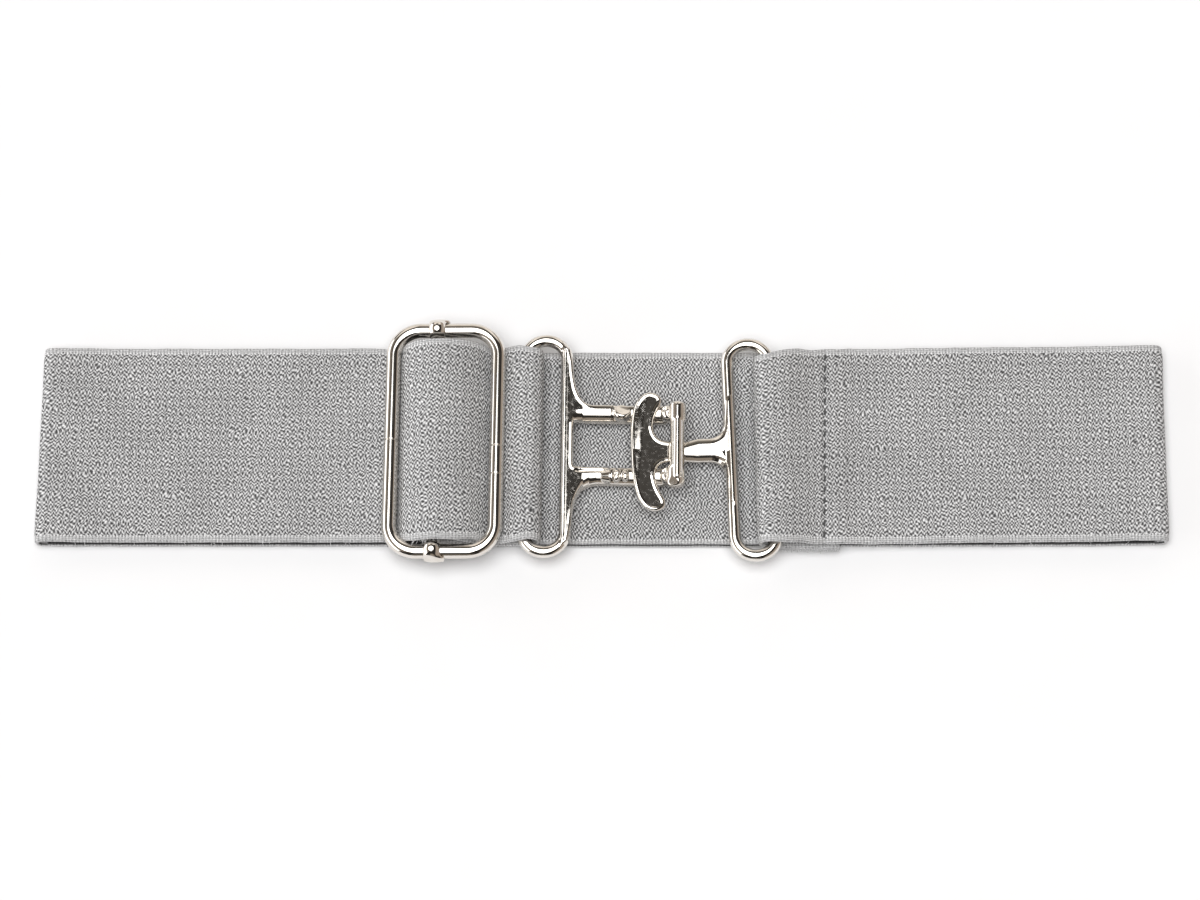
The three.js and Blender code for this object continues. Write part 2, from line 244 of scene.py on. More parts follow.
def ball(x, y, z, arm, at, radii):
    """Close to the distance to an ellipsoid, whose y is measured from an arm's middle."""
    x, y, z = (x - at[0]) / radii[0], (y - (arm + at[1])) / radii[1], (z - at[2]) / radii[2]
    far = np.sqrt(x * x + y * y + z * z)
    return (far - 1) * min(radii)


def slant(x, y, z, at, normal):
    """Distance over a plane through a point."""
    length = math.sqrt(sum(part * part for part in normal))
    nx, ny, nz = (part / length for part in normal)
    return (x - at[0]) * nx + (y - at[1]) * ny + (z - at[2]) * nz


def rod_across(x, y, z, rod_x, rod_z, radius, low, high, end):
    """A rod along Y. end is how round its ends are, as a share of its radius."""
    off = np.hypot(x - rod_x, z - rod_z) - radius
    return rounded_box(off, between(y, low, high), radius * end)


def bent_outline(rows, middle=0.0, steps=8):
    """A closed outline, alike on both sides of its middle line, as points in order.

    A row is x, the distance from the middle line, how far that line is shifted there and, where the
    stretch before it is bent, the bend's control point.
    """
    t = np.arange(steps)[:, None] / steps

    def leg(start, end, bend, side):
        a, b = (np.array([row[0], middle + row[2] + side * row[1]]) for row in (start, end))
        if not bend:
            return [a]
        bend_x, bend_off = bend[0]
        control = np.array([bend_x, middle + side * bend_off])
        return list((1 - t) ** 2 * a + 2 * t * (1 - t) * control + t ** 2 * b)

    points = []
    for before, row in zip(rows, rows[1:]):
        points += leg(before, row, row[3:], 1)
    for before, row in zip(rows[::-1], rows[-2::-1]):
        points += leg(before, row, before[3:], -1)
    return np.array(points + leg(rows[0], rows[0], (), -1))


def outline_distance(x, y, outline):
    """Signed distance from points in the plane to a closed outline."""
    nearest = np.inf
    inside = np.zeros(np.broadcast(x, y).shape, bool)
    for (ax, ay), (bx, by) in zip(outline, np.roll(outline, -1, 0)):
        dx, dy = bx - ax, by - ay
        length = dx * dx + dy * dy
        if length < 1e-12:
            continue
        along = ramp((x - ax) * dx + (y - ay) * dy, length)
        nearest = np.minimum(nearest, (x - ax - along * dx) ** 2 + (y - ay - along * dy) ** 2)
        if dy != 0:
            inside ^= (y >= min(ay, by)) & (y < max(ay, by)) & (x < ax + (y - ay) * dx / dy)
    return np.where(inside, -1, 1) * np.sqrt(nearest)


def cells_round(where, axis):
    """The four grid cells round each edge along axis that starts at one of the grid points."""
    first, second = [other for other in range(3) if other != axis]
    for i in (0, 1):
        for j in (0, 1):
            cell = where.copy()
            cell[:, first] -= i
            cell[:, second] -= j
            yield tuple(cell.T)


def surface_net(field, low, high, step):
    """Points and quads where the field is zero, with the field's own normals.

    The points are first the mean crossing of each grid cell, and are then moved onto the surface.
    """
    axes = [np.arange(a, b + step, step) for a, b in zip(low, high)]
    grid = np.meshgrid(*axes, indexing="ij", sparse=True)
    value = np.broadcast_to(field(*grid), [len(a) for a in axes])
    inside = value < 0
    cells = tuple(n - 1 for n in value.shape)
    total = np.zeros((*cells, 3), np.float32)
    count = np.zeros(cells, np.float32)
    crossings = []
    for axis in range(3):
        start = tuple(slice(0, -1) if a == axis else slice(None) for a in range(3))
        end = tuple(slice(1, None) if a == axis else slice(None) for a in range(3))
        where = np.argwhere(inside[start] != inside[end])
        at = tuple(where.T)
        f0, f1 = value[start][at], value[end][at]
        point = where.astype(float)
        point[:, axis] += f0 / (f0 - f1)
        crossings.append((axis, where, inside[start][at]))
        for index in cells_round(where, axis):
            np.add.at(total, index, point)
            np.add.at(count, index, 1)
    used = count > 0
    number = np.full(cells, -1)
    number[used] = np.arange(used.sum())
    points = np.array(low) + total[used] / count[used][:, None] * step
    quads = []
    for axis, where, starts_inside in crossings:
        a, b, c, d = (number[index] for index in cells_round(where, axis))
        quad = np.stack([a, c, d, b], -1)
        flip = starts_inside == (axis == 1)
        quad[flip] = quad[flip][:, ::-1]
        quads.append(quad)
    points, normals = onto_surface(field, points, step)
    return points, np.concatenate(quads), normals


def onto_surface(field, points, step, rounds=3):
    """Points moved onto the field's zero, and the field's normals there."""
    small = step * 0.05
    for _ in range(rounds):
        slope = np.empty_like(points)
        for axis in range(3):
            shift = np.eye(3)[axis] * small
            slope[:, axis] = field(*(points + shift).T) - field(*(points - shift).T)
        slope /= 2 * small
        steep = np.maximum((slope ** 2).sum(-1), 0.05)
        move = field(*points.T)[:, None] * slope / steep[:, None]
        points = points - np.clip(move, -step / 2, step / 2)
    return points, slope / np.linalg.norm(slope, axis=1)[:, None]


def cast_piece(name, field, low, high, step, at, material):
    """A piece from its field, on a grid from low to high, moved to its place."""
    points, quads, normals = surface_net(field, low, high, step)
    return mesh_object(name, placed(points, at), quads, material, normals=turned(normals, at))


# Shader helpers


class Nodes:
    """A short way to write a node tree, from an empty one."""

    def __init__(self, tree):
        self.tree = tree
        tree.nodes.clear()

    def add(self, kind, **settings):
        node = self.tree.nodes.new("ShaderNode" + kind)
        for name, value in settings.items():
            setattr(node, name, value)
        return node

    def put(self, socket, value):
        if isinstance(value, bpy.types.NodeSocket):
            self.tree.links.new(value, socket)
        else:
            socket.default_value = value

    def fill(self, node, **values):
        """Sets inputs by name, with _ for a space."""
        for name, value in values.items():
            self.put(node.inputs[name.replace("_", " ")], value)

    def made(self, kind, *values, output=0, **settings):
        """An output of a new node, whose first inputs are set to the values."""
        node = self.add(kind, **settings)
        for socket, value in zip(node.inputs, values):
            self.put(socket, value)
        return node.outputs[output]

    def maths(self, operation, *values):
        return self.made("Math", *values, operation=operation)

    def times(self, value, factor, plus=None):
        """value times factor, plus another value if there is one."""
        if plus is None:
            return self.maths("MULTIPLY", value, factor)
        return self.maths("MULTIPLY_ADD", value, factor, plus)

    def vector(self, operation, a, b, output=0):
        return self.made("VectorMath", a, b, output=output, operation=operation)

    def scaled(self, vector, scale):
        node = self.add("VectorMath", operation="SCALE")
        self.fill(node, Vector=vector, Scale=scale)
        return node.outputs[0]

    def split(self, vector):
        """The three parts of a vector."""
        node = self.add("SeparateXYZ")
        self.put(node.inputs[0], vector)
        return node.outputs

    def smooth(self, value, *steps):
        """A smooth step over value: from, to, and the two results if they aren't 0 and 1."""
        return self.made("MapRange", value, *steps, interpolation_type="SMOOTHSTEP")

    def noise(self, vector, scale, detail=2.0, roughness=0.5, output="Fac"):
        node = self.add("TexNoise")
        self.fill(node, Vector=vector, Scale=scale, Detail=detail, Roughness=roughness)
        return node.outputs[output]

    def three_noises(self, vector, scale):
        """Three unlike noises about zero, as the parts of a vector."""
        colour = self.noise(vector, scale, detail=0.0, output="Color")
        return self.split(self.vector("SUBTRACT", colour, (0.5, 0.5, 0.5)))

    def mix(self, share, a, b, kind="RGBA"):
        """A blend of two colours, or of two numbers where kind is FLOAT."""
        node = self.add("Mix", data_type=kind)
        first, output = (6, 2) if kind == "RGBA" else (2, 0)
        for index, value in ((0, share), (first, a), (first + 1, b)):
            self.put(node.inputs[index], value)
        return node.outputs[output]

    def bump(self, shader, height, strength, distance):
        """Relief on a shader, where a height of one unit is a distance in millimetres."""
        node = self.add("Bump")
        self.fill(node, Strength=strength, Distance=distance * MM, Height=height)
        self.put(shader.inputs["Normal"], node.outputs[0])


def new_material(name):
    material = bpy.data.materials.new(name)
    material.use_nodes = True
    nodes = Nodes(material.node_tree)
    shader = nodes.add("BsdfPrincipled")
    nodes.fill(nodes.add("OutputMaterial"), Surface=shader.outputs[0])
    return material, nodes, shader


def grey(level):
    return (level, level, level * 1.01, 1)


# Materials

# The weave repeats each wave along the webbing and each row across it. Its threads wander, and their
# knots lie closer than its ribs by knot_along and knot_across.
# dark and light are the colours of the low gaps and of the high threads. The gaps' dark is painted
# shade.
WEAVE = Values(
    wave=1.95, row=2.16, half=25.0,
    wander=1.3, wander_scale=0.17, shake=2.4, shake_scale=0.6,
    rib=0.8, inner_rib=-0.45, row_rib=0.3, wave_rib=0.25, rising_rib=0.7,
    knot=1.2, inner_knot=0.25, knot_along=2.28, knot_across=1.76, knot_shake=4.0,
    fibre=3.0, fibre_scale=2.6, range=5.0, dark=0.055, light=0.79, contrast=1.5,
)
# Lines along the selvedge and ribs across it, their relief, and the pale beads where it starts
SELVEDGE = Values(
    inside=0.15, outside=0.2, line_pitch=0.5, rib_pitch=0.78, level=0.55,
    line=0.55, rib=0.4, bead=1.2, bead_half=0.35, bead_level=0.6,
)
# How much painted shade darkens the cloth where layers meet edge on edge and where it meets the surface
CREVICE_SHADE = 0.88


def weave_height(nodes, along, across, uv, inner):
    """Ribs that cross in long diamonds, row above row, with small knots of thread over them.

    On the inner face of the cloth the knots are stronger than the ribs.
    """
    turn = 2 * math.pi
    bend = nodes.three_noises(uv, WEAVE.wander_scale)
    shake = nodes.three_noises(uv, WEAVE.shake_scale)
    column = nodes.times(bend[0], WEAVE.wander, along)
    column = nodes.times(column, turn / WEAVE.wave)
    row = nodes.times(bend[1], WEAVE.wander, across)
    row = nodes.times(row, turn / WEAVE.row)
    h = nodes.times(shake[0], WEAVE.shake, column)
    v = nodes.times(shake[1], WEAVE.shake, row)
    falling = nodes.maths("SINE", nodes.times(v, 2.0, nodes.times(h, -1.0)))
    rising = nodes.maths("SINE", nodes.times(v, 2.0, h))
    ribs = nodes.times(rising, WEAVE.rising_rib, falling)
    ribs = nodes.times(nodes.maths("COSINE", row), WEAVE.row_rib, ribs)
    ribs = nodes.times(nodes.maths("COSINE", column), WEAVE.wave_rib, ribs)
    wide = nodes.times(h, WEAVE.knot_along)
    up, down = (
        nodes.times(v, WEAVE.knot_across, nodes.times(part, WEAVE.knot_shake))
        for part in (shake[2], shake[1])
    )
    rising_knots = nodes.maths("SINE", nodes.maths("ADD", wide, up))
    falling_knots = nodes.maths("SINE", nodes.maths("SUBTRACT", wide, down))
    knots = nodes.maths("ADD", rising_knots, falling_knots)
    rib = nodes.times(inner, WEAVE.inner_rib * WEAVE.rib, WEAVE.rib)
    knot = nodes.times(inner, WEAVE.inner_knot * WEAVE.knot, WEAVE.knot)
    return nodes.times(ribs, rib, nodes.times(knots, knot))


def selvedge_height(nodes, along, edge, fibre, start):
    """Plain ribbed edge, with a row of pale beads where it meets the weave."""
    lines = nodes.maths("COSINE", nodes.times(edge, 2 * math.pi / SELVEDGE.line_pitch))
    ribs = nodes.maths("COSINE", nodes.times(along, 2 * math.pi / SELVEDGE.rib_pitch))
    plain = nodes.times(ribs, SELVEDGE.rib, SELVEDGE.level)
    plain = nodes.times(lines, SELVEDGE.line, plain)
    plain = nodes.times(fibre, WEAVE.fibre, plain)
    beside = nodes.maths("ABSOLUTE", nodes.maths("SUBTRACT", edge, start + SELVEDGE.outside))
    bead = nodes.smooth(beside, 0.0, SELVEDGE.bead_half, SELVEDGE.bead, 0.0)
    pale = nodes.times(bead, nodes.maths("ADD", ribs, SELVEDGE.bead_level))
    return nodes.maths("ADD", plain, pale)


def elastic_material():
    """Heathered grey elastic: light waves of thread over gaps darkened with painted shade, and plain
    smooth selvedges.
    """
    material, nodes, shader = new_material("grey_elastic_weave")
    uv = nodes.add("UVMap", uv_map="weave").outputs[0]
    along, across, _ = nodes.split(uv)
    inner = nodes.add("Attribute", attribute_name="inner_face").outputs["Fac"]
    weave = weave_height(nodes, along, across, uv, inner)
    fibre = nodes.maths("SUBTRACT", nodes.noise(uv, WEAVE.fibre_scale, detail=0.0), 0.5)

    edge = nodes.maths("ABSOLUTE", across)
    start = WEAVE.half - WEBBING.selvedge
    band = nodes.smooth(
        nodes.maths("ADD", edge, fibre), start - SELVEDGE.inside, start + SELVEDGE.outside
    )
    selvedge = selvedge_height(nodes, along, edge, fibre, start)
    height = nodes.mix(band, nodes.times(fibre, WEAVE.fibre, weave), selvedge, kind="FLOAT")

    # The colour follows the relief: high threads light and low gaps dark. That is painted shade, over
    # the yarn's own random tone from the fibre noise.
    share = nodes.times(height, 1 / WEAVE.range, 0.5)
    share = nodes.maths("MINIMUM", nodes.maths("MAXIMUM", share, 0.0), 1.0)
    tone = nodes.maths("POWER", share, WEAVE.contrast)
    colour = nodes.mix(tone, grey(WEAVE.dark), grey(WEAVE.light))
    cloud_and_painted_shade = nodes.smooth(nodes.noise(uv, 0.07), 0.3, 0.7, 0.95, 1.05)
    # A slow random cloudiness of tone, times painted shade along the crevices between layers and along
    # the cloth's foot
    painted_shade = nodes.add("Attribute", attribute_name="painted_shade").outputs["Fac"]
    cloud_and_painted_shade = nodes.times(cloud_and_painted_shade, nodes.times(painted_shade, -CREVICE_SHADE, 1.0))
    rough = nodes.smooth(tone, 0.0, 1.0, 0.95, 0.72)
    nodes.fill(shader, Base_Color=nodes.scaled(colour, cloud_and_painted_shade), Roughness=rough)
    nodes.fill(shader, Sheen_Weight=0.08, Sheen_Roughness=0.5, Specular_IOR_Level=0.25)
    nodes.bump(shader, height, strength=0.5, distance=0.1)
    return material


NICKEL = (0.80, 0.765, 0.715, 1)
NICKEL_DULL = (0.74, 0.70, 0.645, 1)


def nickel_material(name, roughness, scratches, wear):
    """Polished nickel plate with a faint warm tint, fine scratches and slight clouding."""
    material, nodes, shader = new_material(name)
    place = nodes.add("TexCoord").outputs["Object"]
    cloud = nodes.noise(place, scale=420.0, detail=3.0)
    colour = nodes.mix(nodes.smooth(cloud, 0.35, 0.7), NICKEL, NICKEL_DULL)
    worn = nodes.noise(place, scale=900.0, detail=3.0, roughness=0.7)
    worn = nodes.smooth(worn, 0.45, 0.75, roughness, roughness * wear)
    nodes.fill(shader, Base_Color=colour, Metallic=1.0, Roughness=worn)
    drawn = nodes.add("Mapping")
    nodes.fill(drawn, Vector=place, Rotation=(0.0, 0.0, 0.7), Scale=(1.0, 0.12, 1.0))
    scratch = nodes.noise(drawn.outputs[0], scale=2600.0, roughness=0.8)
    nodes.bump(shader, scratch, scratches, distance=0.01)
    return material


def thread_material(name, level):
    """Spun thread, with a little fuzz."""
    material, nodes, shader = new_material(name)
    place = nodes.add("TexCoord").outputs["Object"]
    fibre = nodes.noise(place, scale=5200.0, roughness=0.7)
    colour = nodes.mix(nodes.smooth(fibre, 0.3, 0.7), grey(level * 0.7), grey(level * 1.25))
    nodes.fill(shader, Base_Color=colour, Roughness=0.85, Sheen_Weight=0.15)
    nodes.bump(shader, fibre, strength=0.5, distance=0.04)
    return material


# Webbing


def route_points():
    """Rows of the route, with the turns laid out as points."""
    points = []
    for x, z, y, half, skew, *turn in ROUTE:
        if not turn:
            points.append((x, z, y, half, skew))
            continue
        radius, start, end = turn
        for angle in np.radians(np.linspace(start, end, TURN_POINTS)):
            points.append((x + radius * math.cos(angle), z + radius * math.sin(angle), y, half, skew))
    return np.array(points)


def centripetal(before, start, end, after, t):
    """A point on the centripetal curve from start to end."""
    knots = [0.0]
    for a, b in ((before, start), (start, end), (end, after)):
        knots.append(knots[-1] + max(np.linalg.norm(b - a), 1e-9) ** 0.5)
    k0, k1, k2, k3 = knots
    s = k1 + t * (k2 - k1)

    def blend(a, b, low, high):
        return (high - s) / (high - low) * a + (s - low) / (high - low) * b

    middle = blend(start, end, k1, k2)
    left = blend(blend(before, start, k0, k1), middle, k0, k2)
    right = blend(middle, blend(end, after, k2, k3), k1, k3)
    return blend(left, right, k1, k2)


def webbing_stations():
    """Cross sections along the route: x, z, y, half, skew and the length so far."""
    points = route_points()
    way = points[:, :2]
    ends = np.vstack([2 * way[0] - way[1], way, 2 * way[-1] - way[-2]])
    rows = []
    for i in range(len(way) - 1):
        span = np.linalg.norm(way[i + 1] - way[i])
        step = WEBBING.flat_step if span > 6 else WEBBING.curve_step
        for t in np.arange(0, 1, 1 / math.ceil(span / step)):
            blend = (1 - t) * points[i, 2:] + t * points[i + 1, 2:]
            rows.append([*centripetal(*ends[i:i + 4], t), *blend])
    rows = np.array([*rows, points[-1]])
    rows[:, 1] = np.maximum(rows[:, 1], LOW)
    length = np.cumsum([0, *np.hypot(*np.diff(rows[:, :2], axis=0).T)])
    return np.column_stack([rows, length])


def waves(along, across, wavelengths, seed):
    """A smooth irregular ripple of about one unit, from a few waves with fixed random phases."""
    random = np.random.default_rng(seed)
    total = np.zeros(np.broadcast(along, across).shape)
    for wavelength in wavelengths:
        turn = random.uniform(-0.5, 0.5)
        phase = random.uniform(0, 2 * math.pi)
        way = along * math.cos(turn) + across * math.sin(turn)
        total = total + np.sin(2 * math.pi * way / wavelength + phase)
    return total / math.sqrt(len(wavelengths))


def half_thickness(from_edge):
    """Half the webbing's thickness at a distance from its edge: core, groove and selvedge."""
    core = WEBBING.thickness / 2
    rim = WEBBING.selvedge_thickness / 2
    share = ramp(from_edge - WEBBING.selvedge + 0.1, 1.2)
    half = rim + (core - rim) * share * share * (3 - 2 * share)
    dip = ((from_edge - WEBBING.selvedge) / WEBBING.groove_width) ** 2
    return half - WEBBING.groove_depth * np.exp(-dip)


def section_table():
    """Rows of the cross section from the middle of the top to the edge: in from the edge, height."""
    rim = WEBBING.selvedge_thickness / 2
    rows = [(offset, half_thickness(offset)) for offset in (2.5, 2.0, 1.6, 1.35, 1.1, rim)]
    for angle in np.radians(np.arange(67.5, -1, -22.5)):
        rows.append((rim - rim * math.cos(angle), half_thickness(rim) * math.sin(angle)))
    return rows


def webbing_grid(stations):
    """across and up for every station (rows) and every point round the section (columns)."""
    half = stations[:, 3:4]
    inner = 2.9
    core = np.linspace(-1, 1, WEBBING.columns) * (half - inner)
    rim_in, rim_up = np.array(section_table()).T
    rim = half - rim_in
    core_up = np.full_like(core, half_thickness(inner))
    rim_up = np.tile(rim_up, (len(half), 1))
    across = np.hstack([core, rim, rim[:, -2::-1]])
    up = np.hstack([core_up, rim_up, -rim_up[:, -2::-1]])
    return np.hstack([across, -across]), np.hstack([up, -up])


def webbing_points(stations, across, up):
    """The section's points carried to their stations, with the cloth's own ripples."""
    x, z, y, _, skew, length = stations.T
    way = np.gradient(stations[:, :2], axis=0)
    way /= np.linalg.norm(way, axis=1)[:, None]
    s = length[:, None]
    ripple = 0.07 * waves(s, across, (9.0, 14.0, 23.0, 37.0), 3)
    free = ramp(z - LOW, 1.0)[:, None]
    up = up + ripple * free + stitch_dip(x[:, None], z[:, None], across, up)
    wander = 0.04 * waves(s, 0 * s, (5.0, 11.0, 19.0), 8) * np.sign(across)
    across = across + wander * np.clip(np.abs(across) - 20, 0, 5) / 5
    px = x[:, None] - way[:, 1:] * up + skew[:, None] * across
    py = y[:, None] + across
    pz = np.maximum(z[:, None] + way[:, :1] * up, 0.0)
    return np.stack([px, py, pz], -1)


STITCHES = Values(
    x=54.0, lean=0.02, pitch=2.85, length=1.6, radius=0.27, z=4.78,
    middle=-0.7, each_side=8, sink=0.3,
)
# The seam presses a narrow groove and a wide hollow into the cloth: half width and depth
SEAM_DIPS = [(0.5, 0.6), (2.2, 0.12)]


def stitch_dip(x, z, across, up):
    """How far the seam pulls the top layer down, deeper under each stitch's ends.

    There the webbing runs back along X, so that its upper face is the one with up below zero.
    """
    on_top = (z > 3.6) & (z < 5.5) & (up < 0)
    off = x - STITCHES.x - STITCHES.lean * across
    pull = sum(np.exp(-(off / half) ** 2) * depth for half, depth in SEAM_DIPS)
    beat = 0.8 + 0.2 * np.cos(2 * math.pi * across / STITCHES.pitch)
    return np.where(on_top, pull * beat, 0.0)


def weave_map(mesh, along, across):
    """A UV map in millimetres of cloth: along the webbing and across it."""
    layer = mesh.uv_layers.new(name="weave")
    corner = np.empty(len(mesh.loops), np.int32)
    mesh.loops.foreach_get("vertex_index", corner)
    uv = np.stack([along[corner], across[corner]], -1)
    layer.uv.foreach_set("vector", uv.astype(np.float32).ravel())


def set_values(mesh, name, values):
    """One value for each point of a mesh, for its material to read."""
    layer = mesh.attributes.new(name, "FLOAT", "POINT")
    layer.data.foreach_set("value", values.ravel().astype(np.float32))


def where_painted_shade(stations, across, up):
    """Where painted shade darkens the cloth: where two layers lie edge on edge, and where the lowest one
    meets the surface.
    """
    x, z = stations[:, :1], stations[:, 1:2]
    from_edge = stations[:, 3:4] - np.abs(across)
    below = up * np.gradient(stations[:, 0])[:, None] < 0
    doubled = ((x < -19) | (x > 43)) & (np.abs(x) < 133.5)
    upper, lowest = (z > 2) & (z < 3.7), z < 2
    under = below & upper & (from_edge < 1.5) & doubled
    over = ~below & lowest & (from_edge > 0.3) & (from_edge < 2.2) & doubled
    foot = below & lowest & (from_edge < 0.5) & ~doubled
    lip = ~below & lowest & (from_edge > 0.12) & (from_edge < 0.5) & (across < 0) & ~doubled
    return under | over | foot | lip


def make_webbing(material):
    stations = webbing_stations()
    across, up = webbing_grid(stations)
    points = webbing_points(stations, across, up)
    rings, sides = across.shape
    faces = rings_to_faces(rings, sides, closed=False)[:, ::-1]
    obj = mesh_object("webbing", points.reshape(-1, 3), faces, material)
    close_ends(obj)
    along = np.repeat(stations[:, 5], sides)
    stretched = across * WEAVE.half / stations[:, 3:4]
    weave_map(obj.data, along, stretched.ravel())
    set_values(obj.data, "inner_face", up > 0)
    # Painted shade, as a mask: the crevices where layers meet and the foot of the cloth
    set_values(obj.data, "painted_shade", where_painted_shade(stations, across, up))
    return obj, stations


def close_ends(obj):
    """Fills each open end with one face."""
    work = bmesh.new()
    work.from_mesh(obj.data)
    open_edges = [edge for edge in work.edges if edge.is_boundary]
    bmesh.ops.holes_fill(work, edges=open_edges, sides=0)
    bmesh.ops.recalc_face_normals(work, faces=work.faces)
    work.to_mesh(obj.data)
    work.free()


# Strands: stitches of the seam, and fibres that stand out of the cut end and the edges


def strand(points, radius, sides=6):
    """Points and quads of a thread along a line of points, narrowing at both ends."""
    points = np.asarray(points, float)
    along = np.gradient(points, axis=0)
    along /= np.linalg.norm(along, axis=1)[:, None]
    beside = np.cross(along, (0.31, 0.2, 0.93))
    beside /= np.linalg.norm(beside, axis=1)[:, None]
    above = np.cross(beside, along)
    taper = np.ones(len(points))
    taper[[0, -1]] = 0.15
    angle = 2 * math.pi * np.arange(sides) / sides
    ring = np.cos(angle)[:, None] * beside[:, None] + np.sin(angle)[:, None] * above[:, None]
    skin = points[:, None] + radius * taper[:, None, None] * ring
    quads = rings_to_faces(len(points), sides, closed=False)
    first = np.arange(sides)
    last = first + (len(points) - 1) * sides
    caps = []
    for i in range(1, sides - 2, 2):
        caps += [first[[0, i, i + 1, i + 2]], last[[0, i + 2, i + 1, i]]]
    return skin.reshape(-1, 3), np.concatenate([quads[:, ::-1], caps])


def strands_object(name, strands, material):
    points, faces, count = [], [], 0
    for skin, quads in strands:
        points.append(skin)
        faces.append(quads + count)
        count += len(skin)
    return mesh_object(name, np.concatenate(points), np.concatenate(faces), material)


def make_stitches(material):
    """The seam that holds the turned end: short threads, each dipping into the cloth at its ends."""
    made = []
    t = np.linspace(-1, 1, 9)
    for number in range(-STITCHES.each_side, STITCHES.each_side + 1):
        y = STITCHES.middle + number * STITCHES.pitch + t * STITCHES.length / 2
        x = STITCHES.x + STITCHES.lean * y + 0.1 * t
        z = STITCHES.z - STITCHES.sink * np.abs(t) ** 3
        made.append(strand(np.stack([x, y, z], -1), STITCHES.radius))
    return strands_object("seam_stitches", made, material)


# Fibres: both ends of the line that they stand on, how many, how long, and the way that they point
FRAYS = [
    ((56.3, -26.2, 2.4), (57.0, 22.0, 2.6), 150, 1.5, (1.0, -0.1, 0.15)),
    ((42.8, -26.45, 2.7), (57.2, -26.5, 2.8), 110, 0.75, (0.3, -1.0, 0.1)),
    ((-46.0, -26.2, 8.9), (-38.5, -26.6, 9.1), 16, 1.2, (-0.2, -1.0, -0.4)),
    ((72.0, -24.9, 3.0), (76.0, -24.9, 3.0), 4, 1.2, (0.4, -1.0, -0.6)),
    ((-132.0, -24.95, 3.0), (-56.0, -25.0, 3.0), 14, 1.7, (0.1, -0.3, -1.0)),
    ((62.0, -25.1, 3.0), (132.0, -24.6, 3.0), 12, 1.7, (0.1, -0.3, -1.0)),
]


def make_frays(material):
    random = np.random.default_rng(21)
    t = np.linspace(-0.3, 1, 7)[:, None]
    made = []
    for start, end, count, usual_length, toward in FRAYS:
        start, end = np.array(start), np.array(end)
        for _ in range(count):
            at = start + random.random() * (end - start) + random.normal(0, 0.12, 3)
            way = np.array(toward) + random.normal(0, 0.25, 3)
            length = usual_length * random.uniform(0.4, 1.2)
            curl = random.normal(0, 0.3, 3) * t ** 2 * length
            points = at + way / np.linalg.norm(way) * t * length + curl
            points[:, 2] = np.maximum(points[:, 2], 0.15)
            made.append(strand(points, random.uniform(0.05, 0.1), 4))
    return strands_object("edge_fibres", made, material)


# Slide: a wire frame with butt seams, and a centre bar curled round it

# The side of the frame that each seam is on, and its y
SEAMS = [(-1, -0.2), (1, -1.85), (1, -9.0)]
SEAM = Values(depth=0.35, half=0.12, near=0.8)


def frame_path(count):
    """Points along the frame's middle line at even spacing, and the way outward there."""
    corner = SLIDE.corner
    inner_x = SLIDE.width / 2 - SLIDE.wire - corner
    inner_y = SLIDE.height / 2 - SLIDE.wire - corner
    quarter = math.pi * corner / 2
    knots = np.cumsum([0, *[2 * inner_y, quarter, 2 * inner_x, quarter] * 2])
    s = np.arange(count) / count * knots[-1]
    angle = np.radians(np.interp(s, knots, [0, 0, 90, 90, 180, 180, 270, 270, 360]))
    x = inner_x * np.interp(s, knots, [1, 1, 1, -1, -1, -1, -1, 1, 1])
    y = inner_y * np.interp(s, knots, [-1, 1, 1, 1, 1, -1, -1, -1, -1])
    return np.stack([x + corner * np.cos(angle), y + corner * np.sin(angle), angle], -1)


def seam_dips(x, y):
    """The wire's radius, which dips at each butt seam, and the points that are near one."""
    radius = np.full(len(x), SLIDE.wire)
    near = np.zeros(len(x), bool)
    for side, seam_y in SEAMS:
        off = np.where(np.sign(x) == side, y - seam_y, np.inf)
        radius -= SEAM.depth * np.exp(-(off / SEAM.half) ** 4)
        near |= np.abs(off) < SEAM.near
    return radius, near


def make_slide_frame(material):
    """The frame's wire, with close rings of points at the seams and wider ones elsewhere."""
    path = frame_path(2800)
    sides = 40
    radius, near = seam_dips(path[:, 0], path[:, 1])
    keep = near | (np.arange(len(path)) % 8 == 0)
    path, radius = path[keep], radius[keep][:, None]
    angle = 2 * math.pi * np.arange(sides) / sides
    out, up = np.cos(angle) * radius, np.sin(angle) * radius
    x = path[:, :1] + out * np.cos(path[:, 2:])
    y = path[:, 1:2] + out * np.sin(path[:, 2:])
    points = placed(np.stack([x, y, up], -1).reshape(-1, 3), SLIDE)
    faces = rings_to_faces(len(path), sides, closed=True)
    return mesh_object("slide_wire_frame", points, faces[:, ::-1], material)


def collar_field(x, y, z):
    """A strip curled round the frame's short side: a domed pad on top, and a wider lip outside."""
    bar = SLIDE_BAR
    far = np.hypot(y, z)
    angle = np.degrees(np.arctan2(y, z))
    lip = 1 / (1 + np.exp(-(angle - 50) / 7)) / (1 + np.exp((angle - 150) / 12))
    reach = bar.width / 2
    right = reach + bar.lip * lip
    middle = (right - reach) / 2
    half = (right + reach) / 2
    across = ramp(np.abs(x - middle), half)
    pad = np.exp(-((angle + 2) / 42) ** 2)
    dome = (0.3 + bar.dome * pad) * (1 - across ** 2.2)
    shell = np.maximum(far - bar.outside - dome, bar.inside - far)
    side = np.abs(x - middle) - half
    centre = (bar.start + bar.end) / 2
    past = np.abs((angle - centre + 180) % 360 - 180) - (bar.end - bar.start) / 2
    edge = shared(side, np.radians(past) * far, 0.4)
    return shared(shell, edge, 0.45)


def slide_bar_field(x, y, z):
    side = SLIDE.height / 2 - SLIDE.wire
    x = x - SLIDE_BAR.x
    far = collar_field(x, y - side, z)
    near = collar_field(x, -y - side, z)
    end = side - SLIDE_BAR.outside + 0.1
    bar = rod_across(x, y, z, 0.0, -SLIDE_BAR.drop, SLIDE_BAR.radius, -end, end, 0.2)
    return joined(np.minimum(far, near), bar, 0.5)


# Clasp: outlines in each half's own frame, as rows for bent_outline

